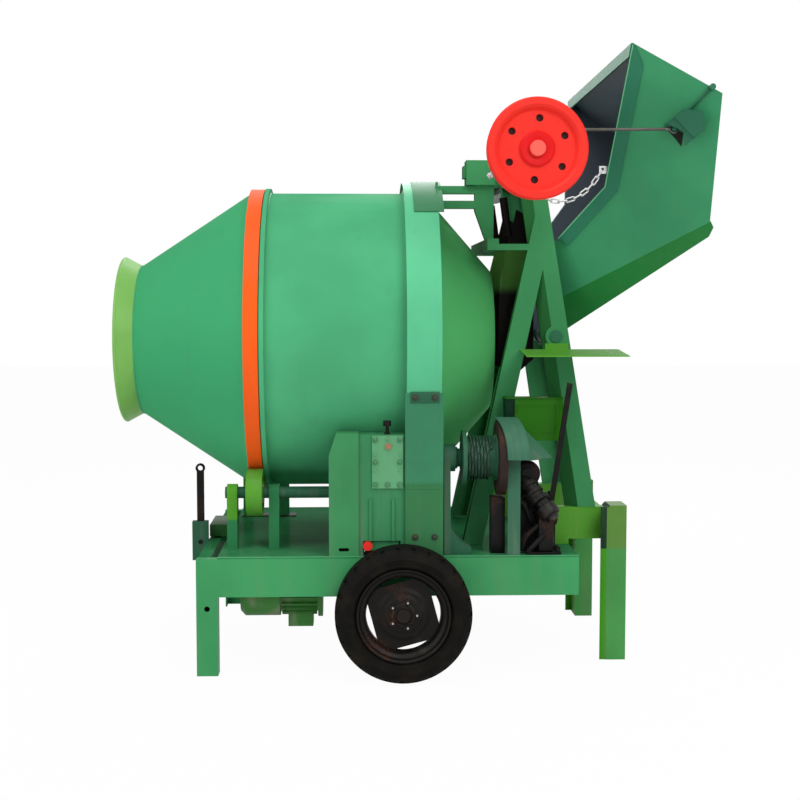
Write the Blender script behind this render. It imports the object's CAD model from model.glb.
"""Concrete mixer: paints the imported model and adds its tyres, ropes, bolts and small fittings."""
import math

import bmesh
import bpy
from mathutils import Matrix, Vector


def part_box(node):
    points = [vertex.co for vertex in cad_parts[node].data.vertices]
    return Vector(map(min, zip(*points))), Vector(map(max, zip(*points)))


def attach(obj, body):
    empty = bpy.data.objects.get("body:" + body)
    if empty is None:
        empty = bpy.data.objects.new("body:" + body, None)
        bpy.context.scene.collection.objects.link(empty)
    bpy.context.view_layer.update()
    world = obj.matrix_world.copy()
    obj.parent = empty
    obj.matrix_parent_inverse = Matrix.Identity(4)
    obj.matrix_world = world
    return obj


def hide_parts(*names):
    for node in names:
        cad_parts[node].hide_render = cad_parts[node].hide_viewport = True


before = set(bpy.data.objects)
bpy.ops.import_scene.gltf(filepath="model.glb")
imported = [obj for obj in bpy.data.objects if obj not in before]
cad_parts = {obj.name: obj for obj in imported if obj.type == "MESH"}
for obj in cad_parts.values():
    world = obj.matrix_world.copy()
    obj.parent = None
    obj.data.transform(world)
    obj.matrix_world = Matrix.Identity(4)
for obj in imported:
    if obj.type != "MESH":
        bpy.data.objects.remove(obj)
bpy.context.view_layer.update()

bl_info = {
    "name": "Concrete Mixer Dressing",
    "version": (1, 0, 0),
    "blender": (4, 5, 0),
    "location": "View3D > Sidebar > Mixer",
    "description": "Paints a packed concrete mixer and adds its tyres, ropes, bolts and fittings",
    "category": "Object",
}

# Places on the mixer, in the part's own millimetres.
MID_X = 37.0
DECK_TOP = 566
DRUM_Z = 1572.0
COLUMN_FACE = 781
WHEEL_X = 12
WHEEL_Y = 895
WHEEL_Z = 321
WINCH_Y = -660
WINCH_Z = 1023.76
HOIST_X = 609
HOIST_Z = 2455
HOOK_X = 1250
HOOK_Z = 2558

# The hoist ropes: their plane, the radius at which they leave their spools, and their slope.
ROPE_Y = 891.4
ROPE_R = 95.3
ROPE_LEAN = math.radians(0.6876)

# The signs of Y on the two sides.
NEAR = -1
FAR = 1


def at(x, y, z):
    """A point in the part's own millimetres, as metres in the shared frame."""
    return Vector(((x - MID_X) / 1000, y / 1000, z / 1000))


def mm(points):
    """Profile points in millimetres, as metres."""
    return [(a / 1000, b / 1000) for a, b in points]


def paint(red, green, blue):
    """A colour as seen on a screen, from 0 to 255, in the renderer's linear values."""
    return tuple(((c / 255 + 0.055) / 1.055) ** 2.4 if c > 10 else c / 3294.6
                 for c in (red, green, blue))


def shade(colour, level):
    """A colour made darker or lighter."""
    return (*[min(1.0, c * level) for c in colour[:3]], 1.0)


def colour_setting(name, about, value):
    """A colour that a user can change."""
    return bpy.props.FloatVectorProperty(
        name=name, description=about, subtype="COLOR", size=3, min=0.0, max=1.0, default=value)


def length_setting(name, about, value):
    """A size that a user can change, in metres."""
    return bpy.props.FloatProperty(
        name=name, description=about, subtype="DISTANCE", unit="LENGTH", min=0.0005, max=1.0,
        default=value)


class MixerPaints(bpy.types.PropertyGroup):
    """Colours of the mixer's paints and bare materials"""
    chassis: colour_setting("Chassis green", "Side beams and front legs", paint(64, 152, 94))
    deck: colour_setting("Deck green", "Deck plate, cross beams and pedestals", paint(52, 126, 80))
    lime: colour_setting("Lime green", "Rear beams, rollers and shelf", paint(86, 156, 48))
    drum: colour_setting("Drum green", "Drum shell", paint(80, 173, 122))
    guard: colour_setting("Guard green", "Band over the ring gear", paint(92, 192, 142))
    collar: colour_setting("Collar green", "Discharge collar", paint(129, 187, 95))
    hopper: colour_setting("Hopper green", "Outside of the feed hopper", paint(61, 147, 101))
    inside: colour_setting("Hopper grey", "Inside of the feed hopper", paint(106, 116, 126))
    hood: colour_setting("Hood green", "Weathered winch guard", paint(62, 110, 86))
    box: colour_setting("Control box green", "Control box", paint(40, 110, 12))
    orange: colour_setting("Orange", "Front riding ring", paint(255, 94, 26))
    red: colour_setting("Red", "Hoist wheel and oil plugs", paint(246, 54, 44))
    black: colour_setting("Black", "Axle, drawbar, pulleys and chute", paint(20, 18, 17))
    rubber: colour_setting("Rubber", "Tyres and belts", paint(11, 10, 8))
    steel: colour_setting("Steel", "Drive shaft and hoist shaft", paint(168, 168, 166))
    rust: colour_setting("Rust", "Rust on worn edges", paint(112, 62, 34))
    dust: colour_setting("Dust", "Cement dust on low surfaces", paint(150, 146, 130))


class MixerSizes(bpy.types.PropertyGroup):
    """Sizes of the mixer's small fittings"""
    bolt: length_setting("Bolt head radius", "Half the width across a bolt head's corners", 0.0105)
    bead: length_setting("Weld bead radius", "Half the width of a weld bead", 0.0045)
    strand: length_setting("Rope strand radius", "Half the thickness of a hoist rope's strand", 0.0021)
    lay: length_setting("Rope lay", "Length in which a strand goes once round the rope", 0.11)


class Number:
    """A value in a material's node tree, on which Python's operators add Math nodes."""

    def __init__(self, tree, socket):
        self.tree = tree
        self.socket = socket

    def reckon(self, operation, first, second):
        node = self.tree.nodes.new("ShaderNodeMath")
        node.operation = operation
        feed(self.tree, node.inputs[0], first)
        feed(self.tree, node.inputs[1], second)
        return Number(self.tree, node.outputs[0])

    def __add__(self, other):
        return self.reckon("ADD", self, other)

    def __radd__(self, other):
        return self.reckon("ADD", other, self)

    def __sub__(self, other):
        return self.reckon("SUBTRACT", self, other)

    def __rsub__(self, other):
        return self.reckon("SUBTRACT", other, self)

    def __mul__(self, other):
        return self.reckon("MULTIPLY", self, other)


def feed(tree, socket, item):
    """Links a value to a socket, or sets the socket to a plain number or colour."""
    if isinstance(item, Number):
        tree.links.new(item.socket, socket)
    elif isinstance(item, tuple) and socket.type == "RGBA":
        socket.default_value = (*item[:3], 1.0)
    else:
        socket.default_value = item


class Finish:
    """A material being made: its Principled shader and the nodes that feed it."""

    def __init__(self, name):
        self.material = bpy.data.materials.new(name)
        self.material.use_nodes = True
        self.tree = self.material.node_tree
        self.shader = self.tree.nodes["Principled BSDF"]
        self.point = self.node("ShaderNodeTexCoord", output="Object")

    def node(self, kind, settings=None, sockets=None, output=0):
        """Any node, by its type, settings, socket values or links, and the output to use."""
        made = self.tree.nodes.new(kind)
        for key, item in (settings or {}).items():
            setattr(made, key, item)
        for key, item in (sockets or {}).items():
            feed(self.tree, made.inputs[key], item)
        return Number(self.tree, made.outputs[output])

    def noise(self, scale, detail, stretch=None):
        """Clouded noise, stretched where a pattern runs one way."""
        where = self.point
        if stretch:
            where = self.node("ShaderNodeMapping", None, {"Vector": self.point, "Scale": stretch})
        sockets = {"Vector": where, "Scale": scale, "Detail": detail}
        return self.node("ShaderNodeTexNoise", None, sockets)

    def along(self, axis):
        """How far a point lies along X, Y or Z."""
        return self.node("ShaderNodeSeparateXYZ", None, {"Vector": self.point}, axis)

    def facing(self, axis):
        """How far a surface faces along X, Y or Z of its own object."""
        normal = self.node("ShaderNodeTexCoord", output="Normal")
        return self.node("ShaderNodeSeparateXYZ", None, {"Vector": normal}, axis)

    def inward(self):
        """How far a wall of an open box about the middle plane faces into it."""
        side = self.rise(self.along("Y"), -0.01, 0.01) * -2.4 + 1.2
        return self.facing("Y") * side - self.facing("X")

    def leftward(self, edge):
        """Where a surface faces the drum's mouth, or lies beyond an edge on that side."""
        faces = self.rise(self.facing("X") * -1, 0.5, 0.7)
        return faces + 1 - self.rise(self.along("X"), edge - 0.001, edge)

    def rise(self, value, low, high):
        """A soft step from 0 to 1."""
        return self.node("ShaderNodeMapRange", {"interpolation_type": "SMOOTHSTEP"},
                         {"Value": value, "From Min": low, "From Max": high}, "Result")

    def mix(self, first, second, share):
        """One colour over another."""
        return self.node("ShaderNodeMix", {"data_type": "RGBA"}, {6: first, 7: second, 0: share}, 2)

    def bump(self, height, strength, distance):
        """A surface relief."""
        normal = self.node("ShaderNodeBump", None,
                           {"Height": height, "Strength": strength, "Distance": distance}, "Normal")
        feed(self.tree, self.shader.inputs["Normal"], normal)

    def surface(self, **sockets):
        """Feeds the shader; a name's underscores stand for spaces."""
        for key, item in sockets.items():
            feed(self.tree, self.shader.inputs[key.replace("_", " ")], item)
        return self.material


def colours():
    """The scene's paints."""
    return bpy.context.scene.mixer_paints


def sizes():
    """The scene's sizes of small fittings."""
    return bpy.context.scene.mixer_sizes


def enamel(name, colour, rough, dust, chips, layers=(), gloss=0.1):
    """Brushed paint: uneven tone, rain streaks, dust low down, rusty chips, other colours in layers."""
    coat = Finish(name)
    colour = tuple(colour)
    broad = coat.noise(2.2, 4.0)
    fine = coat.noise(46.0, 3.0)
    streak = coat.noise(6.0, 4.0, (2.6, 2.6, 0.22))
    low = 1 - coat.rise(coat.along("Z"), 0.1, 1.35)
    dirt = (low * 0.75 + 0.12) * coat.rise(streak, 0.46, 0.74) * dust
    chip = coat.rise(coat.noise(95.0, 2.0), 0.69, 0.73) * coat.rise(broad, 0.48, 0.62) * chips
    tone = coat.mix(shade(colour, 0.9), shade(colour, 1.1), coat.rise(broad, 0.3, 0.7))
    for other, where in layers:
        other = tuple(other)
        tone = coat.mix(tone, coat.mix(shade(other, 0.9), shade(other, 1.1), broad), where(coat))
    tone = coat.mix(tone, shade(colour, 0.72), coat.rise(streak, 0.58, 0.8) * 0.25)
    tone = coat.mix(tone, tuple(colours().dust), dirt)
    tone = coat.mix(tone, tuple(colours().rust), chip)
    coat.bump(fine * 0.6 + chip * -1.5, 0.12, 0.0015)
    return coat.surface(Base_Color=tone, Specular_IOR_Level=gloss, Coat_Weight=0.05, Coat_Roughness=0.2,
                        Roughness=rough + dirt * 0.5 + chip * 0.4 + fine * 0.06)


def worn_iron(name, colour, rust, rough=0.55):
    """Thin black paint over iron, with rust coming through."""
    coat = Finish(name)
    colour = tuple(colour)
    oxide = tuple(colours().rust)
    broad = coat.noise(9.0, 5.0)
    speck = coat.noise(120.0, 3.0)
    rusty = coat.rise(broad, 0.52, 0.68) * coat.rise(speck, 0.42, 0.62) * rust
    tone = coat.mix(shade(colour, 0.75), shade(colour, 1.35), coat.noise(24.0, 4.0))
    tone = coat.mix(tone, coat.mix(shade(oxide, 0.6), oxide, speck), rusty)
    tone = coat.mix(tone, tuple(colours().dust), coat.rise(coat.noise(5.0, 4.0), 0.55, 0.8) * 0.1)
    coat.bump(speck, 0.25, 0.0012)
    return coat.surface(Base_Color=tone, Specular_IOR_Level=0.16,
                        Roughness=rough + rusty * 0.3 + speck * 0.08)


def bare_metal(name, colour, rough, stain, metal=1.0):
    """Turned or drawn steel with a stain of grease."""
    coat = Finish(name)
    colour = tuple(colour)
    ring = coat.noise(60.0, 2.0, (1.0, 6.0, 1.0))
    smear = coat.rise(coat.noise(8.0, 5.0), 0.45, 0.7) * stain
    tone = coat.mix(shade(colour, 0.85), shade(colour, 1.1), ring)
    tone = coat.mix(tone, paint(48, 40, 32), smear)
    coat.bump(ring, 0.1, 0.0008)
    return coat.surface(Base_Color=tone, Metallic=metal - smear * 0.5,
                        Roughness=rough + smear * 0.3 + ring * 0.08)


def rubber(name):
    """Matt black rubber with brown dust in its hollows."""
    coat = Finish(name)
    colour = tuple(colours().rubber)
    fine = coat.noise(260.0, 3.0)
    dusty = coat.rise(coat.noise(11.0, 5.0), 0.46, 0.72)
    tone = coat.mix(shade(colour, 0.8), shade(colour, 1.35), coat.noise(30.0, 4.0))
    tone = coat.mix(tone, paint(92, 80, 64), dusty * 0.1)
    coat.bump(fine, 0.2, 0.0008)
    return coat.surface(Base_Color=tone, Specular_IOR_Level=0.09, Roughness=0.62 + dusty * 0.2)


def rest():
    """Leaves edit mode and deselects everything."""
    if bpy.context.object and bpy.context.object.mode != "OBJECT":
        bpy.ops.object.mode_set(mode="OBJECT")
    bpy.ops.object.select_all(action="DESELECT")


def choose(piece):
    """Selects one piece alone and makes it active."""
    rest()
    piece.select_set(True)
    bpy.context.view_layer.objects.active = piece


def edit(piece):
    """Opens one piece in edit mode."""
    choose(piece)
    bpy.ops.object.mode_set(mode="EDIT")


def close_up():
    """Welds the doubled points of the piece in edit mode, turns its faces out and leaves it."""
    bpy.ops.mesh.select_all(action="SELECT")
    bpy.ops.mesh.remove_doubles(threshold=0.00002)
    bpy.ops.mesh.normals_make_consistent(inside=False)
    rest()


def pick(piece, test):
    """Selects the faces of the piece in edit mode whose middle and normal pass a test."""
    bpy.ops.mesh.select_mode(type="FACE")
    bpy.ops.mesh.select_all(action="DESELECT")
    work = bmesh.from_edit_mesh(piece.data)
    for face in work.faces:
        face.select_set(test(face.calc_center_median(), face.normal))
    bmesh.update_edit_mesh(piece.data)


def settle(piece):
    """Puts a piece's place into its mesh, so that its object sits at the origin."""
    choose(piece)
    bpy.ops.object.transform_apply(location=True, rotation=True, scale=True)
    return piece


def join(pieces):
    """One mesh from several."""
    for piece in pieces:
        settle(piece)
    rest()
    for piece in pieces:
        piece.select_set(True)
    bpy.context.view_layer.objects.active = pieces[0]
    if len(pieces) > 1:
        bpy.ops.object.join()
    return bpy.context.view_layer.objects.active


def repeat(model, places):
    """Copies of a modelled piece, one at each place, in one mesh."""
    made = []
    for place in places:
        copy = model.copy()
        copy.data = model.data.copy()
        bpy.context.collection.objects.link(copy)
        copy.matrix_world = place
        made.append(copy)
    bpy.data.objects.remove(model)
    return join(made)


def stand(point, normal, turn=0.0):
    """The place of a fitting that stands on a surface."""
    upright = Vector(normal).to_track_quat("Z", "Y").to_matrix().to_4x4()
    return Matrix.Translation(point) @ upright @ Matrix.Rotation(turn, 4, "Z")


def finish(piece, name, material, body, smooth=40.0):
    """Names a finished piece, gives it its material and lets it ride on its body."""
    settle(piece)
    piece.name = name
    piece.data.materials.clear()
    piece.data.materials.append(material)
    bpy.ops.object.shade_smooth_by_angle(angle=math.radians(smooth))
    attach(piece, body)
    return piece


def trace(path):
    """A new piece, open in edit mode, that holds one line of points."""
    rest()
    bpy.ops.mesh.primitive_plane_add(size=0.01)
    piece = bpy.context.object
    edit(piece)
    bpy.ops.mesh.select_mode(type="VERT")
    bpy.ops.mesh.select_all(action="SELECT")
    bpy.ops.mesh.merge(type="CENTER")
    bpy.ops.transform.translate(value=path[0])
    for before, after in zip(path, path[1:]):
        bpy.ops.mesh.extrude_vertices_move(TRANSFORM_OT_translate={"value": after - before})
    bpy.ops.mesh.select_all(action="SELECT")
    return piece


def cut_plate(outline, depth):
    """A plate cut to an outline, with its thickness given as a vector."""
    piece = trace(outline)
    bpy.ops.mesh.edge_face_add()
    bpy.ops.mesh.extrude_region_move(TRANSFORM_OT_translate={"value": depth})
    close_up()
    return piece


def lathe(profile, steps, closed=True):
    """Turns a profile of (radius, height) points about Z."""
    path = [Vector((r, 0.0, h)) for r, h in profile]
    if closed:
        path.append(path[0])
    piece = trace(path)
    bpy.ops.mesh.spin(steps=steps, angle=math.tau, center=(0, 0, 0), axis=(0, 0, 1))
    close_up()
    return piece


def tube(points, radius, sides, closed=False):
    """A round bar along a path, capped at its ends, or a ring along a closed one."""
    path = bpy.data.curves.new("path", "CURVE")
    path.dimensions = "3D"
    path.bevel_depth = radius
    path.bevel_resolution = max(0, (sides - 4) // 2)
    path.use_fill_caps = not closed
    line = path.splines.new("POLY")
    line.points.add(len(points) - 1)
    for place, point in zip(line.points, points):
        place.co = (*point, 1.0)
    line.use_cyclic_u = closed
    piece = bpy.data.objects.new("path", path)
    bpy.context.collection.objects.link(piece)
    choose(piece)
    bpy.ops.object.convert(target="MESH")
    return bpy.context.object


def round_corners(points, radius):
    """A path whose corners are rounded."""
    steps = 6
    made = [points[0]]
    for before, corner, after in zip(points, points[1:], points[2:]):
        into = (before - corner).normalized() * radius
        out = (after - corner).normalized() * radius
        for k in range(steps + 1):
            t = k / steps
            made.append(corner + into * (1 - t) ** 2 + out * t ** 2)
    made.append(points[-1])
    return made


def plate(lo, hi, bevel):
    """A plate or block between two corners, its edges bevelled."""
    rest()
    lo, hi = Vector(lo), Vector(hi)
    bpy.ops.mesh.primitive_cube_add(size=1.0, location=(lo + hi) / 2)
    piece = bpy.context.object
    piece.scale = hi - lo
    settle(piece)
    edit(piece)
    bpy.ops.mesh.select_all(action="SELECT")
    bpy.ops.mesh.bevel(offset=bevel, segments=2, affect="EDGES")
    rest()
    return piece


def hex_bolt(radius):
    """A hexagon bolt head with a chamfered top, on a washer that stands on z = 0."""
    rest()
    bpy.ops.mesh.primitive_cylinder_add(vertices=6, radius=radius, depth=radius * 0.9,
                                        location=(0, 0, radius * 0.65))
    head = bpy.context.object
    settle(head)
    edit(head)
    pick(head, lambda middle, normal: normal.z > 0.9)
    bpy.ops.mesh.inset(thickness=radius * 0.16)
    bpy.ops.transform.translate(value=(0, 0, radius * 0.12))
    rest()
    bpy.ops.mesh.primitive_cylinder_add(vertices=16, radius=radius * 1.5, depth=radius * 0.22,
                                        location=(0, 0, radius * 0.11))
    washer = bpy.context.object
    edit(washer)
    pick(washer, lambda middle, normal: normal.z > 0.9)
    bpy.ops.mesh.inset(thickness=radius * 0.1)
    rest()
    return join([head, washer])


def bolts(places, radius=None):
    """Bolts at given places."""
    return repeat(hex_bolt(radius or sizes().bolt), places)


def bead(points, seed):
    """A weld bead along a closed path, a little uneven."""
    radius = sizes().bead
    piece = tube(points, radius, 6, True)
    edit(piece)
    bpy.ops.mesh.select_all(action="SELECT")
    bpy.ops.transform.vertex_random(offset=radius * 0.3, seed=seed)
    rest()
    return piece


def hopper_side(x, z, sign, out):
    """A point some millimetres out from the hopper's slanted side."""
    foot_x = 780
    foot_y = 185
    foot_z = 1600
    lean = math.radians(40)
    spread = 0.687
    rise = (x - foot_x) * math.cos(lean) + (z - foot_z) * math.sin(lean)
    return at(x, sign * (foot_y + spread * rise + out), z)


def hoist_run(run, sign):
    """A point on a hoist rope, some millimetres from where it leaves its spool."""
    return at(HOIST_X + run * math.cos(ROPE_LEAN) - ROPE_R * math.sin(ROPE_LEAN), sign * ROPE_Y,
              HOIST_Z + run * math.sin(ROPE_LEAN) + ROPE_R * math.cos(ROPE_LEAN))


def wheel_seat(sign):
    """The place of a road wheel, its axis pointing out."""
    return stand(at(WHEEL_X, sign * WHEEL_Y, WHEEL_Z), (0, sign, 0))


def drum_circle(x, radius):
    """Points of a circle about the drum's axis."""
    steps = 180
    turns = [k * math.tau / steps for k in range(steps)]
    return [at(x, radius * math.cos(a), DRUM_Z + radius * math.sin(a)) for a in turns]


def strands(path, radius, lay, sides=6):
    """Six strands laid round a path, each a tube, with a core."""
    count = 6
    made = []
    frames = []
    up = Vector((0, 1, 0))
    run = 0.0
    for k, point in enumerate(path):
        ahead = (path[min(k + 1, len(path) - 1)] - path[max(k - 1, 0)]).normalized()
        up = (up - ahead * up.dot(ahead)).normalized()
        run += (point - path[k - 1]).length if k else 0.0
        frames.append((point, up.copy(), ahead.cross(up), run / lay * math.tau))
    for n in range(count):
        line = []
        for point, side, other, turn in frames:
            a = turn + n * math.tau / count
            line.append(point + (side * math.cos(a) + other * math.sin(a)) * radius * 1.9)
        made.append(tube(line, radius, sides))
    made.append(tube(path, radius * 1.2, sides))
    return join(made)


class MIXER_OT_finishes(bpy.types.Operator):
    """Gives every CAD node the finish of its real surface"""
    bl_idname = "mixer.finishes"
    bl_label = "Finishes"

    def execute(self, context):
        tint = colours()
        blocks = enamel("pedestal_enamel", tint.deck, 0.4, 0.1, 0.3, (
            (tint.lime, lambda coat: (1 - coat.rise(coat.along("X"), -0.76, -0.74))
             * coat.rise(coat.along("Z"), 0.7, 0.72)),), 0.0)
        frames = enamel("frame_enamel", paint(66, 142, 90), 0.36, 0.15, 0.3, (
            (paint(48, 112, 60), lambda coat: coat.rise(coat.facing("X") * -1, 0.35, 0.6)),), 0.0)
        shell = enamel("drum_enamel", tint.drum, 0.33, 0.08, 0.12, (
            (paint(82, 174, 102), lambda coat: coat.rise(coat.along("X"), 0.105, 0.2)),
            (paint(67, 168, 112), lambda coat: 1 - coat.rise(coat.along("X"), -0.8, -0.76))), 0.0)
        hopper = enamel("hopper_enamel", tint.hopper, 0.38, 0.25, 0.2, (
            (paint(28, 120, 30), lambda coat: coat.rise(coat.facing("Z") * -1, 0.5, 0.65)),
            (tint.inside, lambda coat: coat.rise(coat.inward(), 0.1, 0.3))))
        legs = enamel("leg_enamel", paint(74, 150, 78), 0.4, 0.15, 0.4, (
            (paint(92, 138, 60), lambda coat: coat.rise(coat.along("Z"), 0.553, 0.559)),
            (paint(58, 148, 18), lambda coat: coat.leftward(0.991)),
            (paint(2, 46, 24), lambda coat: coat.leftward(0.991)
             * coat.rise(coat.along("Z"), 0.553, 0.559))))
        panel = enamel("box_enamel", tint.box, 0.36, 0.1, 0.3, (
            (paint(0, 42, 24), lambda coat: 1 - coat.rise(coat.along("X"), 0.529, 0.531)),))
        columns = enamel("column_enamel", paint(60, 130, 94), 0.4, 0.2, 0.3, (
            (paint(56, 120, 74), lambda coat: 1 - coat.rise(coat.along("Z"), 0.9, 0.93)),))
        chute = enamel("chute_enamel", tint.black, 0.5, 0.1, 0.3, (
            (paint(66, 110, 48), lambda coat: coat.rise(coat.along("Z"), 1.8, 1.86)
             - coat.rise(coat.along("Z"), 2.03, 2.07)),), 0.0)
        plugs = enamel("plug_enamel", tint.red, 0.4, 0.1, 0.1, (
            (paint(150, 128, 98), lambda coat: coat.rise(coat.along("Z"), 0.9, 0.92)),))
        dark = enamel("dark_enamel", paint(46, 98, 72), 0.42, 0.4, 0.6)
        lime = enamel("lime_enamel", tint.lime, 0.38, 0.4, 0.4)
        black = worn_iron("black_iron", tint.black, 0.45)
        gear = bare_metal("gear_iron", paint(96, 92, 88), 0.42, 0.6)
        rope = bare_metal("rope_steel", paint(92, 90, 84), 0.46, 0.5, 0.7)
        table = {
            blocks: "roller_pedestals",
            frames: "near_a_frame far_a_frame tower_tie hoist_bearings belt_guard",
            shell: "drum_shell",
            hopper: "hopper_shell",
            legs: "rear_legs",
            panel: "control_box",
            columns: "ring_guard_columns",
            chute: "feed_chute",
            plugs: "oil_plugs",
            dark: "drawbar_bracket winch_stand rope_drum near_roller_shaft far_roller_shaft",
            lime: "rear_beams near_rollers far_rollers shelf_plate",
            black: "axle_beam drawbar dipstick input_pulley motor_pulley",
            gear: "ring_gear rear_riding_ring drive_pinion",
            rope: "rope_guides rope_middle_runs rope_lower_runs winch_rope",
            enamel("chassis_enamel", tint.chassis, 0.36, 0.12, 0.3): "side_beams front_legs",
            enamel("deck_enamel", tint.deck, 0.42, 0.12, 0.4, (), 0.0): "deck_plate cross_beams",
            enamel("gearbox_enamel", paint(60, 134, 88), 0.4, 0.4, 0.4): "gearbox_case",
            enamel("cover_enamel", paint(98, 165, 118), 0.34, 0.2, 0.3): "gearbox_cover",
            enamel("hood_enamel", tint.hood, 0.5, 0.6, 0.8): "winch_guard",
            enamel("motor_enamel", paint(62, 118, 56), 0.42, 0.6, 0.5): "motor",
            enamel("hood_fittings", paint(48, 108, 82), 0.42, 0.3, 0.6): "hopper_fittings",
            enamel("rim_enamel", paint(46, 120, 90), 0.4, 0.2, 0.3): "hopper_rim",
            enamel("collar_enamel", tint.collar, 0.36, 0.3, 0.2): "discharge_collar",
            enamel("guard_enamel", tint.guard, 0.33, 0.15, 0.12): "ring_guard_band",
            enamel("ring_enamel", tint.orange, 0.36, 0.12, 0.1): "front_riding_ring",
            enamel("wheel_enamel", tint.red, 0.34, 0.08, 0.1): "hoist_wheel",
            worn_iron("clutch_iron", paint(15, 14, 13), 0.5): "clutch_pedestal clutch_lever",
            worn_iron("wheel_iron", paint(30, 26, 23), 0.35, 0.42): "near_rim far_rim",
            worn_iron("brake_iron", paint(44, 32, 27), 0.6, 0.6): "brake_drum",
            bare_metal("bare_steel", tint.steel, 0.34, 0.3): "drive_shaft hoist_shaft",
            bare_metal("zinc_chain", paint(205, 205, 205), 0.3, 0.08, 0.75): "hopper_chain",
            bare_metal("worn_blades", paint(128, 124, 118), 0.5, 0.7, 0.6): "mixing_blades",
            rubber("belt_rubber"): "drive_belts near_tyre far_tyre",
        }
        for material, names in table.items():
            for name in names.split():
                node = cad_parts[name]
                node.data.materials.clear()
                node.data.materials.append(material)
        return {"FINISHED"}


class MIXER_OT_tyres(bpy.types.Operator):
    """Models the two road tyres with beaded sidewalls and a cut tread"""
    bl_idname = "mixer.tyres"
    bl_label = "Road tyres"

    def execute(self, context):
        side = [(203, 48), (206, 55), (222, 59), (227, 68), (231, 77), (235, 80.5), (237, 82.5),
                (240, 82.5), (242, 81.6), (254, 85.6), (264, 86.6), (266, 87.3), (270, 87.2),
                (272, 85.8), (285, 83), (298, 76.5), (309, 66), (316, 57.5), (319, 50), (319.6, 31),
                (312.5, 29.5), (312.5, 24.5), (319.8, 23), (319.8, 4), (312.5, 2.5)]
        profile = mm([(r, -h) for r, h in side] + [(r, h) for r, h in reversed(side)])
        material = rubber("tyre_rubber")
        steps = 108
        cut_every = 4
        cut_depth = 0.006

        def on_shoulder(middle, normal):
            turn = int(math.atan2(middle.y, middle.x) / (math.tau / steps) + steps)
            return (math.hypot(middle.x, middle.y) > 0.302 and 0.05 < abs(middle.z) < 0.075
                    and turn % cut_every == 0)

        for name, sign in (("near", NEAR), ("far", FAR)):
            piece = lathe(profile, steps)
            edit(piece)
            pick(piece, on_shoulder)
            bpy.ops.mesh.extrude_region_shrink_fatten(TRANSFORM_OT_shrink_fatten={"value": -cut_depth})
            rest()
            piece.matrix_world = wheel_seat(sign)
            finish(piece, name + "_road_tyre", material, name + "_wheel", 32.0)
            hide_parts(name + "_tyre")
        return {"FINISHED"}


class MIXER_OT_rims(bpy.types.Operator):
    """Presses the two wheel discs, with their hub caps, nuts and studs"""
    bl_idname = "mixer.rims"
    bl_label = "Wheel rims"

    def execute(self, context):
        iron = worn_iron("rim_iron", paint(13, 10, 8), 0.3, 0.36)
        hub = worn_iron("hub_iron", paint(26, 22, 19), 0.5, 0.4)
        bright = bare_metal("stud_steel", paint(196, 190, 180), 0.3, 0.1)
        half = [(222, 60), (222, 66), (219, 70), (214, 70.5), (209, 68), (205, 62), (202, 50),
                (190, 46), (181, 36), (174, 22)]
        inner = [(r, -h) for r, h in reversed(half)]
        barrel = mm(half + inner + [(208, -58), (205, -50), (193, -43), (184, -33), (178, -20),
                                    (178, 20), (184, 33), (193, 43), (205, 50), (208, 58)])
        pressed = mm([(33, 4), (33, 42), (39, 42), (39, 29), (84, 28), (90, 23), (100, 22.5),
                      (112, 21), (120, 15), (132, 13.5), (177.5, 13), (177.5, 7), (131, 7.5),
                      (117, 9), (110, 15), (88, 16), (80, 4)])
        cap = mm([(40, 29.5), (57, 29.5), (57, 35), (52, 38), (44, 39), (41, 44), (37, 47), (36, 58),
                  (31, 64), (0, 65), (0, 62), (32.2, 61), (32.4, 43), (40, 42.5)])
        stud = mm([(0, 0), (6, 0), (6, 7), (4.5, 9), (0, 9)])
        flat = 0.149
        nut_ring = 0.062
        ring = []
        for k in range(5):
            a = k * math.tau / 5
            ring.append(Matrix.Translation((nut_ring * math.cos(a), nut_ring * math.sin(a), 0.0282)))
        for name, sign in (("near", NEAR), ("far", FAR)):
            disc = lathe(pressed, 96)
            edit(disc)
            for k in range(4):
                a = math.radians(15 + 90 * k)
                out = Vector((math.cos(a), math.sin(a), 0))
                bpy.ops.mesh.select_all(action="SELECT")
                bpy.ops.mesh.bisect(plane_co=out * flat, plane_no=out, use_fill=True, clear_outer=True)
            rest()
            wheel = [lathe(barrel, 96), disc]
            seat = wheel_seat(sign)
            for piece in wheel:
                piece.matrix_world = seat
            rim = finish(join(wheel), name + "_wheel_disc", iron, name + "_wheel")
            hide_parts(name + "_rim")
            nuts = repeat(hex_bolt(0.0125), [seat @ place for place in ring])
            dome = lathe(cap, 48)
            dome.matrix_world = seat
            finish(join([nuts, dome]), name + "_hub_cap_and_nuts", hub, name + "_wheel")
            tips = [seat @ place @ Matrix.Translation((0, 0, 0.014)) for place in ring]
            ends = repeat(lathe(stud, 10, False), tips)
            finish(ends, name + "_wheel_studs", bright, name + "_wheel")
        return {"FINISHED"}


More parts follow.
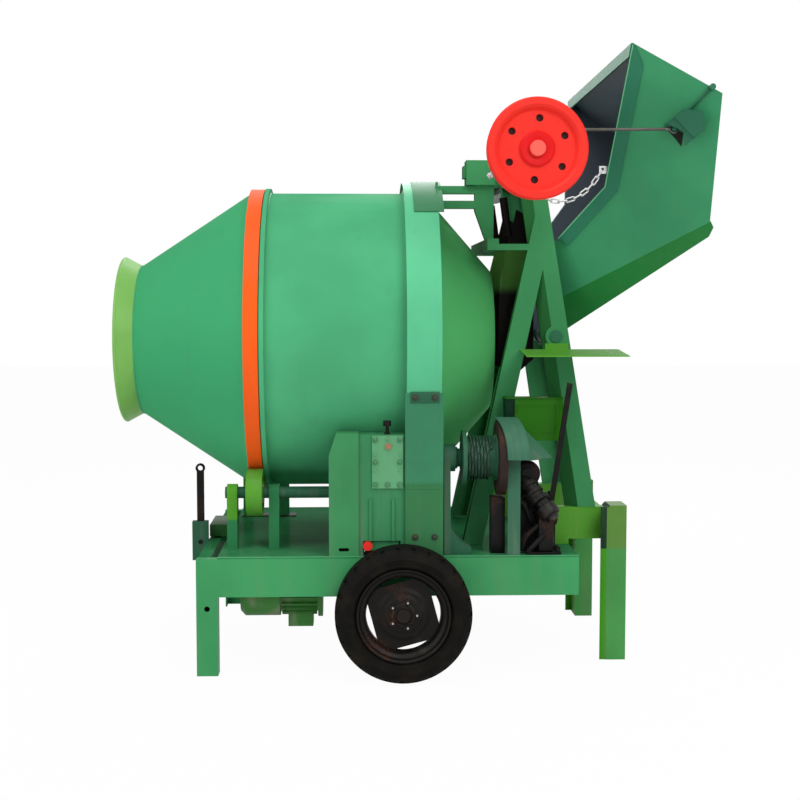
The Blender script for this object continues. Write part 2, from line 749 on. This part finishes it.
class MIXER_OT_ropes(bpy.types.Operator):
    """Lays the strands of the winch rope and of the two hoist ropes"""
    bl_idname = "mixer.ropes"
    bl_label = "Ropes"

    def execute(self, context):
        material = bare_metal("laid_rope", paint(74, 84, 74), 0.46, 0.5, 0.5)
        greased = bare_metal("greased_rope", paint(36, 72, 54), 0.42, 0.4, 0.1)
        rings = 40
        turns = 7
        pitch = 15.2
        coil_r = 100.1
        wind = []
        for k in range(turns * rings + 1):
            a = math.radians(150) + k * math.tau / rings
            wind.append(at(328 + k * pitch / rings, WINCH_Y + coil_r * math.cos(a),
                           WINCH_Z + coil_r * math.sin(a)))
        piece = strands(wind, 0.0024, 0.085, 5)
        finish(piece, "wound_winch_rope", greased, "winch", 60.0)
        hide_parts("winch_rope")
        reach = 642.19
        count = 90
        for body, name, first, last, size in (
                ("rope_guide", "upper", 0.0, reach - 24, 1.0),
                ("rope_middle", "middle", 10.0, reach - 18, 0.96),
                ("rope_lower", "lower", 16.0, reach - 14, 0.92)):
            runs = []
            for sign in (NEAR, FAR):
                line = [hoist_run(first + (last - first) * k / count, sign) for k in range(count + 1)]
                runs.append(strands(line, sizes().strand * size, sizes().lay))
            piece = join(runs)
            finish(piece, "hoist_rope_" + name, material, body, 60.0)
            if name != "upper":
                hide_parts("rope_" + name + "_runs")
        return {"FINISHED"}


class MIXER_OT_hoist(bpy.types.Operator):
    """Dresses the hoist wheel, its shaft end, the rope spools and the neck of the winch drum"""
    bl_idname = "mixer.hoist"
    bl_label = "Hoist shaft"

    def execute(self, context):
        boss = lathe(mm([(33, 0), (80, 0), (80, 8), (72, 15), (42, 15), (38, 13), (33, 13)]), 64)
        boss.matrix_world = stand(at(HOIST_X, -995, HOIST_Z), (0, -1, 0))
        coat = enamel("boss_enamel", paint(228, 30, 32), 0.34, 0.05, 0.1)
        finish(boss, "hoist_wheel_boss", coat, "hoist")
        tip = lathe(mm([(0, 0), (36, 0), (36, 20), (33, 24), (0, 24)]), 40, False)
        tip.matrix_world = stand(at(HOIST_X, -1010, HOIST_Z), (0, -1, 0))
        coat = enamel("tip_enamel", paint(248, 104, 92), 0.4, 0.05, 0.1)
        finish(tip, "hoist_shaft_tip", coat, "hoist")
        back = lathe(mm([(82, 50), (168, 50), (168, 53), (82, 53)]), 64)
        back.matrix_world = stand(at(HOIST_X, -1025, HOIST_Z), (0, 1, 0))
        iron = worn_iron("back_iron", paint(58, 46, 44), 0.3)
        finish(back, "hoist_wheel_back", iron, "hoist")
        turn = math.radians(209.5)
        out = Vector((math.cos(turn), 0, math.sin(turn)))
        clamp_r = 213
        seat = at(HOIST_X + clamp_r * out.x, -958, HOIST_Z + clamp_r * out.z)
        block = plate((-0.017, -0.013, 0), (0.017, 0.013, 0.026), 0.003)
        block.matrix_world = stand(seat, out)
        nut = repeat(hex_bolt(0.011), [stand(seat + out * 0.026, out)])
        steel = bare_metal("clamp_steel", paint(205, 200, 198), 0.3, 0.1)
        finish(join([block, nut]), "rope_clamp", steel, "hoist")
        spool_r = 95
        count = 52
        coils = []
        for sign in (NEAR, FAR):
            for side in (-1, 1):
                line = []
                for k in range(count + 1):
                    a = k * math.tau / 40
                    y = sign * ROPE_Y + side * (20.5 + 8 * k / count)
                    line.append(at(HOIST_X + spool_r * math.cos(a), y, HOIST_Z + spool_r * math.sin(a)))
                coils.append(strands(line, 0.0023, 0.085, 5))
        neck = lathe(mm([(31, 0), (52, 0), (52, 8), (44, 12), (44, 24), (60, 30), (31, 30)]), 40)
        neck.matrix_world = stand(at(269.5, WINCH_Y, WINCH_Z), (1, 0, 0))
        coat = enamel("neck_enamel", paint(34, 88, 62), 0.42, 0.3, 0.5)
        finish(neck, "rope_drum_neck", coat, "winch")
        rope = bare_metal("spool_rope", paint(74, 84, 74), 0.46, 0.5, 0.5)
        finish(join(coils), "spool_windings", rope, "hoist", 60.0)
        return {"FINISHED"}


class MIXER_OT_rope_ends(bpy.types.Operator):
    """Makes the eyes and the pressed sleeves at the lower ends of the hoist ropes"""
    bl_idname = "mixer.rope_ends"
    bl_label = "Rope ends"

    def execute(self, context):
        eye_r = 0.0168
        wire_r = 0.0048
        turns = [k * math.tau / 10 for k in range(10)]
        ring = [(eye_r + wire_r * math.cos(a), wire_r * math.sin(a)) for a in turns]
        parts = []
        for sign in (NEAR, FAR):
            eye = lathe(ring, 28)
            eye.matrix_world = stand(at(HOOK_X, sign * ROPE_Y, HOOK_Z), (0, sign, 0))
            parts.append(eye)
            parts.append(tube([hoist_run(run, sign) for run in (602, 606, 622, 626)], 0.0088, 12))
        steel = bare_metal("sleeve_steel", paint(110, 112, 108), 0.4, 0.5)
        finish(join(parts), "rope_eyes_and_sleeves", steel, "rope_lower")
        return {"FINISHED"}


class MIXER_OT_control_box(bpy.types.Operator):
    """Adds the rain lip and the hinges of the control box"""
    bl_idname = "mixer.control_box"
    bl_label = "Control box"

    def execute(self, context):
        coat = enamel("lip_enamel", shade(colours().box, 0.85), 0.4, 0.3, 0.3)
        lip = plate(at(519, -578, 1299), at(803, -462, 1304), 0.001)
        hinges = [tube([at(569, -575, z), at(569, -575, z + 44)], 0.0055, 10) for z in (1122, 1232)]
        finish(join([lip, *hinges]), "box_lip_and_hinges", coat, "frame")
        return {"FINISHED"}


class MIXER_OT_clutch(bpy.types.Operator):
    """Builds the collars, the pipes, the plates and the foot of the winch clutch"""
    bl_idname = "mixer.clutch"
    bl_label = "Clutch gear"

    def execute(self, context):
        grease = worn_iron("greased_iron", paint(15, 14, 14), 0.25, 0.36)
        collars = lathe(mm([
            (0, 0), (24, 0), (28, 16), (28, 44), (44, 48), (44, 68), (34, 72), (34, 92), (49, 98),
            (49, 114), (40, 118), (40, 134), (52, 140), (52, 160), (34, 164), (34, 186), (52, 194),
            (52, 236), (46, 246), (31, 248), (31, 264), (0, 264)]), 36, False)
        top = at(590, -630, 925)
        low = at(737, -752, 735)
        collars.matrix_world = stand(top, low - top)
        foot = plate(at(664, -742, 577), at(736, -690, 742), 0.009)
        sole_top = 577.5
        sole = plate(at(606, -752, DECK_TOP), at(772, -634, sole_top), 0.002)
        bent = round_corners([at(590, -700, 576), at(604, -704, 650), at(706, -712, 732)], 0.03)
        upper = tube(bent, 0.015, 12)
        lower = tube([at(612, -732, 577), at(690, -736, 660)], 0.015, 12)
        heads = bolts([stand(at(x, y, sole_top), (0, 0, 1), 0.4)
                       for x in (622, 756) for y in (-738, -652)], 0.012)
        cheek_y = -606
        outline = ((576, DECK_TOP), (690, DECK_TOP), (690, 840), (660, 985), (610, 1012), (572, 985))
        cheek = cut_plate([at(x, cheek_y, z) for x, z in outline], Vector((0, 0.012, 0)))
        boss = mm([(0, 0), (64, 0), (64, 14), (52, 18), (52, 30), (30, 34), (30, 46), (0, 46)])
        seats = [stand(at(x, cheek_y, z), (0, -1, 0)) for x, z in ((622, 940), (640, 806))]
        bosses = repeat(lathe(boss, 32, False), seats)
        web = plate(at(440, -706, 567), at(506, -702, 834), 0.001)
        band = tube([at(548, -690, 842), at(604, -672, 800), at(650, -650, 690)], 0.017, 12)
        parts = [collars, cheek, bosses, web, band, foot, sole, upper, lower, heads]
        finish(join(parts), "clutch_gear", grease, "frame")
        return {"FINISHED"}


class MIXER_OT_hood(bpy.types.Operator):
    """Adds the folds of the winch hood and the bolts of its post"""
    bl_idname = "mixer.hood"
    bl_label = "Winch hood"

    def execute(self, context):
        coat = enamel("fold_enamel", shade(colours().hood, 1.15), 0.5, 0.6, 0.5)
        hood_r = 194.2
        count = 24
        folds = []
        for start in (452, 484, 518, 548):
            line = []
            for k in range(count + 1):
                a = math.radians(97 + 80 * k / count)
                y = WINCH_Y + hood_r * math.cos(a)
                line.append(at(start - 0.25 * (640 + y), y, WINCH_Z + hood_r * math.sin(a)))
            folds.append(tube(line, 0.0022, 6))
        heads = bolts([stand(at(x, -768, z), (0, -1, 0), 0.2)
                       for x in (526, 558) for z in (1088, 1132)], 0.008)
        finish(join([*folds, heads]), "hood_folds", coat, "frame")
        return {"FINISHED"}


class MIXER_OT_plates(bpy.types.Operator):
    """Lays the strips and soles on the deck, and the plates on the drawbar, the legs and the guard"""
    bl_idname = "mixer.plates"
    bl_label = "Plates and strips"

    def execute(self, context):
        strips = [plate(at(-862, y, DECK_TOP), at(852, y + 12, 569), 0.001) for y in (-780, 768)]
        coat = enamel("strip_enamel", paint(78, 166, 108), 0.4, 0.4, 0.5)
        finish(join(strips), "deck_edge_strips", coat, "frame")
        soles = [plate(at(x, 452, DECK_TOP), at(x + length, 556, 572), 0.0015)
                 for x, length in ((-842, 300), (-60, 250))]
        iron = worn_iron("sole_iron", paint(46, 42, 38), 0.8)
        finish(join(soles), "roller_soles", iron, "frame")
        front = plate(at(-961, -150, 560), at(-868, 150, 622), 0.004)
        coat = enamel("box_olive", paint(44, 98, 48), 0.42, 0.3, 0.4)
        finish(front, "drawbar_box", coat, "frame")
        wings = [plate(at(997, y, 1), at(1030, y + 5, 764), 0.001) for y in (-545, 540)]
        finish(join(wings), "rear_leg_flanges", bpy.data.materials["leg_enamel"], "frame")
        stays = [plate(at(-954, y, 276), at(-869, y + 4, 366), 0.001) for y in (-704, 700)]
        iron = worn_iron("stay_iron", paint(14, 22, 16), 0.2)
        finish(join(stays), "leg_stiffeners", iron, "frame")
        start = math.radians(8)
        sweep = math.radians(-31)
        corners = ((78, 812.2), (224, 812.2), (224, 818), (78, 818), (78, 812.2))
        patch = trace([at(x, -r * math.sin(start), DRUM_Z + r * math.cos(start)) for x, r in corners])
        bpy.ops.mesh.edge_face_add()
        bpy.ops.mesh.spin(steps=14, angle=sweep, center=at(0, 0, DRUM_Z), axis=(1, 0, 0))
        close_up()
        coat = enamel("patch_enamel", paint(60, 126, 86), 0.4, 0.2, 0.2)
        finish(patch, "guard_band_plate", coat, "frame")
        return {"FINISHED"}


class MIXER_OT_hopper_trim(bpy.types.Operator):
    """Adds the worn mouth edges of the hopper, its hook covers and the dark pockets behind its hooks"""
    bl_idname = "mixer.hopper_trim"
    bl_label = "Hopper trim"

    def execute(self, context):
        edge = enamel("edge_enamel", paint(112, 190, 140), 0.4, 0.1, 0.3, (
            (paint(58, 130, 92), lambda coat: coat.rise(coat.along("Y"), -0.01, 0.01)),))
        green = enamel("cover_green", paint(48, 108, 82), 0.42, 0.3, 0.6)
        dark = worn_iron("pocket_iron", paint(24, 26, 24), 0.3)
        mouth = ((1051, 2932, 8), (986, 2317, 9), (795, 2081, 9))
        rod = ((1300, 2630, 10), (1384, 2724, 10))
        cover = ((-36, 18), (30, 77), (46, 78), (106, 64), (118, -12), (47, -80), (40, -48), (42, -20),
                 (2, 2))
        roof = ((-36, 18, 70), (30, 77, 70), (30, 77, 0), (-36, 18, 0))
        pocket = ((-32, 14), (2, 8), (48, -16), (46, -74), (18, -40))
        edges = []
        covers = []
        pockets = []
        for sign in (NEAR, FAR):
            edges.append(tube([hopper_side(x, z, sign, out) for x, z, out in mouth], 0.003, 8))
            face = [hopper_side(HOOK_X + x, HOOK_Z + z, sign, 70.3) for x, z in cover]
            covers.append(cut_plate(face, Vector((0, sign * 0.0016, 0))))
            top = [hopper_side(HOOK_X + x, HOOK_Z + z, sign, out) for x, z, out in roof]
            covers.append(cut_plate(top, Vector((-0.002, 0, 0.0022))))
            covers.append(tube([hopper_side(x, z, sign, out) for x, z, out in rod], 0.006, 10))
            hole = [hopper_side(HOOK_X + x, HOOK_Z + z, sign, 1) for x, z in pocket]
            pockets.append(cut_plate(hole, Vector((0, sign * 0.002, 0))))
        finish(join(edges), "hopper_mouth_edges", edge, "hopper")
        finish(join(covers), "hook_covers", green, "hopper")
        finish(join(pockets), "hook_pockets", dark, "hopper")
        return {"FINISHED"}


class MIXER_OT_seams(bpy.types.Operator):
    """Lays the weld beads round the drum"""
    bl_idname = "mixer.seams"
    bl_label = "Weld seams"

    def execute(self, context):
        coat = enamel("bead_enamel", paint(74, 164, 118), 0.4, 0.2, 0.1)
        seams = ((-1304, 382), (146, 755), (-637, 756), (36, 756), (-734, 756))
        rings = [bead(drum_circle(x, r), n) for n, (x, r) in enumerate(seams)]
        finish(join(rings), "drum_weld_beads", coat, "drum")
        return {"FINISHED"}


class MIXER_OT_bolts(bpy.types.Operator):
    """Bolts the guard columns and the gearbox cover, with the columns' straps and folds"""
    bl_idname = "mixer.bolts"
    bl_label = "Bolts"

    def execute(self, context):
        coat = worn_iron("bolt_iron", paint(58, 66, 56), 0.5)
        strap_face = COLUMN_FACE + 6
        fold_face = COLUMN_FACE + 2
        places = []
        straps = []
        folds = []
        for sign in (NEAR, FAR):
            for x in (72, 164):
                places.append(stand(at(x, sign * strap_face, 1322), (0, sign, 0), 0.3))
                places.append(stand(at(x, sign * 781.4, 660), (0, sign, 0), 0.3))
            low, high = sorted((sign * COLUMN_FACE, sign * strap_face))
            straps.append(plate(at(50, low, 1297), at(186, high, 1348), 0.0015))
            low, high = sorted((sign * COLUMN_FACE, sign * fold_face))
            for z in (888, 908):
                folds.append(plate(at(26, low, z), at(206, high, z + 5), 0.0008))
        finish(bolts(places), "guard_bolts", coat, "frame")
        finish(join(straps), "guard_straps", bpy.data.materials["dark_enamel"], "frame")
        finish(join(folds), "column_folds", bpy.data.materials["column_enamel"], "frame")
        lo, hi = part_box("gearbox_cover")
        face = lo[1] + 0.004
        bottom = lo[2] + 0.018
        top = hi[2] - 0.018
        spots = []
        for x in (lo[0] + 0.015, hi[0] - 0.015):
            for z in (bottom, (lo[2] + hi[2]) / 2, top):
                spots.append((x, face, z))
        spots.append(((lo[0] + hi[0]) / 2, face, bottom))
        heads = bolts([stand(spot, (0, -1, 0), 0.3) for spot in spots], 0.0085)
        coat = enamel("cover_bolt_enamel", paint(78, 140, 98), 0.4, 0.3, 0.4)
        finish(heads, "cover_bolts", coat, "frame")
        return {"FINISHED"}


class MIXER_OT_stage(bpy.types.Operator):
    """Sets the pale floor, the soft lights and the camera"""
    bl_idname = "mixer.stage"
    bl_label = "Stage"

    def execute(self, context):
        rest()
        bpy.ops.mesh.primitive_plane_add(size=60.0, location=(0, 0, -0.001))
        floor = bpy.context.object
        floor.name = "studio_floor"
        pale = Finish("studio_white")
        pale.surface(Base_Color=(0.86, 0.86, 0.86), Roughness=0.8)
        seen = pale.node("ShaderNodeLightPath", output="Is Camera Ray")
        glossy = pale.node("ShaderNodeLightPath", output="Is Glossy Ray")
        through = pale.node("ShaderNodeLightPath", output="Is Transmission Ray")
        share = seen * 0.97 + glossy * 0.5 + through * 0.97
        glow = pale.node("ShaderNodeEmission", None, {"Color": (1, 1, 1), "Strength": 1.0})
        body = Number(pale.tree, pale.shader.outputs[0])
        both = pale.node("ShaderNodeMixShader", None, {0: share, 1: body, 2: glow})
        feed(pale.tree, pale.tree.nodes["Material Output"].inputs["Surface"], both)
        floor.data.materials.append(pale.material)
        world = bpy.data.worlds.new("studio")
        context.scene.world = world
        world.use_nodes = True
        tree = world.node_tree
        path = tree.nodes.new("ShaderNodeLightPath")
        shown = Number(tree, path.outputs["Is Camera Ray"]) + Number(tree, path.outputs["Is Glossy Ray"])
        shown = shown + Number(tree, path.outputs["Is Transmission Ray"])
        sky = tree.nodes["Background"]
        sky.inputs["Color"].default_value = (1, 1, 1, 1)
        feed(tree, sky.inputs["Strength"], shown * 0.58 + 0.42)
        for name, place, aim, size, power in (
                ("key", (3.4, -6.2, 6.0), (0, 0, 1.3), 4.0, 262.0),
                ("fill", (-5.5, -5.2, 3.2), (-0.2, 0, 1.2), 4.5, 105.0),
                ("rim", (1.5, 5.5, 5.5), (0, 0, 1.4), 4.0, 170.0),
                ("top", (-1.6, -2.4, 7.0), (-0.4, 0, 1.6), 4.0, 120.0)):
            lamp = bpy.data.lights.new(name, "AREA")
            lamp.size = size
            lamp.energy = power
            light = bpy.data.objects.new(name, lamp)
            light.location = place
            light.rotation_mode = "QUATERNION"
            light.rotation_quaternion = (Vector(aim) - Vector(place)).to_track_quat("-Z", "Y")
            context.collection.objects.link(light)
        picture = 800
        focal = 1368
        horizon = 100
        lens = bpy.data.cameras.new("photo_camera")
        lens.sensor_width = 36.0
        lens.lens = focal * 36.0 / picture
        lens.clip_end = 100.0
        camera = bpy.data.objects.new("photo_camera", lens)
        camera.location = (-0.26, -7.176, 1.778)
        yaw = math.radians(2.0)
        pitch = math.atan(horizon / focal)
        level = math.cos(pitch)
        ahead = Vector((math.sin(yaw) * level, math.cos(yaw) * level, -math.sin(pitch)))
        camera.rotation_mode = "QUATERNION"
        camera.rotation_quaternion = ahead.to_track_quat("-Z", "Y")
        context.collection.objects.link(camera)
        context.scene.camera = camera
        context.scene.view_settings.view_transform = "Standard"
        return {"FINISHED"}


OPERATORS = (
    MIXER_OT_stage, MIXER_OT_finishes, MIXER_OT_tyres, MIXER_OT_rims, MIXER_OT_ropes, MIXER_OT_hoist,
    MIXER_OT_rope_ends, MIXER_OT_control_box, MIXER_OT_clutch, MIXER_OT_hood, MIXER_OT_plates,
    MIXER_OT_hopper_trim, MIXER_OT_seams, MIXER_OT_bolts,
)


class MIXER_PT_panel(bpy.types.Panel):
    """Lists the mixer's pieces in the sidebar"""
    bl_idname = "MIXER_PT_panel"
    bl_label = "Concrete Mixer"
    bl_space_type = "VIEW_3D"
    bl_region_type = "UI"
    bl_category = "Mixer"

    def draw(self, context):
        column = self.layout.column()
        for kind in OPERATORS:
            column.operator(kind.bl_idname)
        for group in (context.scene.mixer_paints, context.scene.mixer_sizes):
            for key in group.__annotations__:
                column.prop(group, key)


CLASSES = (MixerPaints, MixerSizes, *OPERATORS, MIXER_PT_panel)


def register():
    for kind in CLASSES:
        bpy.utils.register_class(kind)
    bpy.types.Scene.mixer_paints = bpy.props.PointerProperty(type=MixerPaints)
    bpy.types.Scene.mixer_sizes = bpy.props.PointerProperty(type=MixerSizes)


def unregister():
    del bpy.types.Scene.mixer_sizes
    del bpy.types.Scene.mixer_paints
    for kind in reversed(CLASSES):
        bpy.utils.unregister_class(kind)


def main():
    register()
    for kind in OPERATORS:
        group, name = kind.bl_idname.split(".")
        getattr(getattr(bpy.ops, group), name)()


if __name__ == "__main__":
    main()
